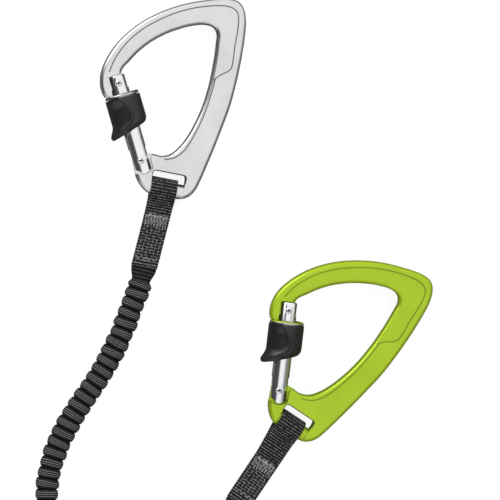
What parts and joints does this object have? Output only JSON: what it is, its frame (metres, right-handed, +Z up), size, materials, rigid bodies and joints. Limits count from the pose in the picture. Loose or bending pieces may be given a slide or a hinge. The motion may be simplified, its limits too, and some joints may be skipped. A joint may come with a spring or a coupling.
{
  "type": "via ferrata lanyard",
  "caption": "Via ferrata lanyard with auto-locking palm-grip carabiners on elastic arms, a pouched energy absorber and a sewn tie-in loop, laid flat.",
  "frame": {"origin": "middle of the box of the pieces other than the elastic arms, on the table that the lanyard lies on", "axes": "+Z up from the table, +Y from the tie-in loop towards the carabiners, +X to the right in the picture"},
  "size_m": [0.2571, 0.7392, 0.032],
  "materials": {
    "silver_anodised": "satin anodised",
    "lime_anodised": "satin lime anodised",
    "polished_aluminium": "polished",
    "spring_steel": "drawn wire and turned steel",
    "black_plastic": "moulded, half gloss",
    "black_webbing": "woven",
    "grey_thread": "sewing thread",
    "pouch_cloth": "plain woven cloth",
    "black_rubber": "matt"
  },
  "bodies": {
    "lanyard": {"silver_eye_webbing": "black_webbing", "silver_upper_tack": "grey_thread", "silver_lower_tack": "grey_thread", "silver_elastic_arm": "black_webbing", "silver_elastic_arm_hank": "black_webbing", "silver_hank_tie": "black_rubber", "silver_arm_end_webbing": "black_webbing", "lime_eye_webbing": "black_webbing", "lime_upper_tack": "grey_thread", "lime_lower_tack": "grey_thread", "lime_elastic_arm": "black_webbing", "lime_elastic_arm_hank": "black_webbing", "lime_hank_tie": "black_rubber", "lime_arm_end_webbing": "black_webbing", "absorber_pouch": "pouch_cloth", "tear_webbing_pack": "black_webbing", "tie_in_loop": "black_webbing", "loop_keeper": "black_rubber"},
    "silver_carabiner": {"silver_carabiner_body": "silver_anodised"},
    "silver_gate_with_pins": {"silver_gate": "polished_aluminium", "silver_hinge_rivet": "polished_aluminium", "silver_latch_pin": "polished_aluminium", "silver_gate_spring": "spring_steel", "silver_sleeve_stop_clip": "spring_steel", "silver_sleeve_spring": "spring_steel"},
    "silver_locking_sleeve": {"silver_sleeve": "black_plastic", "silver_locking_ring": "polished_aluminium"},
    "silver_plunger": {"silver_gate_plunger": "spring_steel"},
    "lime_carabiner": {"lime_carabiner_body": "lime_anodised"},
    "lime_gate_with_pins": {"lime_gate": "polished_aluminium", "lime_hinge_rivet": "polished_aluminium", "lime_latch_pin": "polished_aluminium", "lime_gate_spring": "spring_steel", "lime_sleeve_stop_clip": "spring_steel", "lime_sleeve_spring": "spring_steel"},
    "lime_locking_sleeve": {"lime_sleeve": "black_plastic", "lime_locking_ring": "polished_aluminium"},
    "lime_plunger": {"lime_gate_plunger": "spring_steel"}
  },
  "joints": [
    {"name": "silver_carabiner_swings", "type": "hinge", "parent": "lanyard", "child": "silver_carabiner", "pos_m": [-0.05946, 0.25591, 0.00786], "axis": [0.977, -0.1881, -0.1001], "range_deg": [-120, 120]},
    {"name": "silver_gate_opens", "type": "hinge", "parent": "silver_carabiner", "child": "silver_gate_with_pins", "pos_m": [-0.07461, 0.27304, 0.00968], "axis": [-0.0983, 0.0189, -0.995], "range_deg": [0, 26], "stiffness_Nm_per_rad": 0.3, "springref_deg": -28.65},
    {"name": "silver_sleeve_slides", "type": "slide", "parent": "silver_gate_with_pins", "child": "silver_locking_sleeve", "axis": [0.2778, -0.9596, -0.0457], "range_m": [0, 0.008], "deforming": ["silver_sleeve_spring"]},
    {"name": "silver_plunger_slides", "type": "slide", "parent": "silver_gate_with_pins", "child": "silver_plunger", "axis": [-0.2778, 0.9596, 0.0457], "range_m": [0, 0.0007], "deforming": ["silver_gate_spring"]},
    {"name": "lime_carabiner_swings", "type": "hinge", "parent": "lanyard", "child": "lime_carabiner", "pos_m": [0.01484, 0.11511, 0.00786], "axis": [0.8278, -0.5521, -0.1001], "range_deg": [-120, 120]},
    {"name": "lime_gate_opens", "type": "hinge", "parent": "lime_carabiner", "child": "lime_gate_with_pins", "pos_m": [0.00752, 0.13677, 0.00968], "axis": [-0.0833, 0.0555, -0.995], "range_deg": [0, 26], "stiffness_Nm_per_rad": 0.3, "springref_deg": -28.65},
    {"name": "lime_sleeve_slides", "type": "slide", "parent": "lime_gate_with_pins", "child": "lime_locking_sleeve", "axis": [-0.1158, -0.9922, -0.0457], "range_m": [0, 0.008], "deforming": ["lime_sleeve_spring"]},
    {"name": "lime_plunger_slides", "type": "slide", "parent": "lime_gate_with_pins", "child": "lime_plunger", "axis": [0.1158, 0.9922, 0.0457], "range_m": [0, 0.0007], "deforming": ["lime_gate_spring"]}
  ],
  "couplings": [
    {"joint": "silver_sleeve_slides", "follows": "silver_gate_opens", "m_per_rad": 0.0176},
    {"joint": "silver_plunger_slides", "follows": "silver_gate_opens", "m_per_rad": 0.00154},
    {"joint": "lime_sleeve_slides", "follows": "lime_gate_opens", "m_per_rad": 0.0176},
    {"joint": "lime_plunger_slides", "follows": "lime_gate_opens", "m_per_rad": 0.00154}
  ]
}
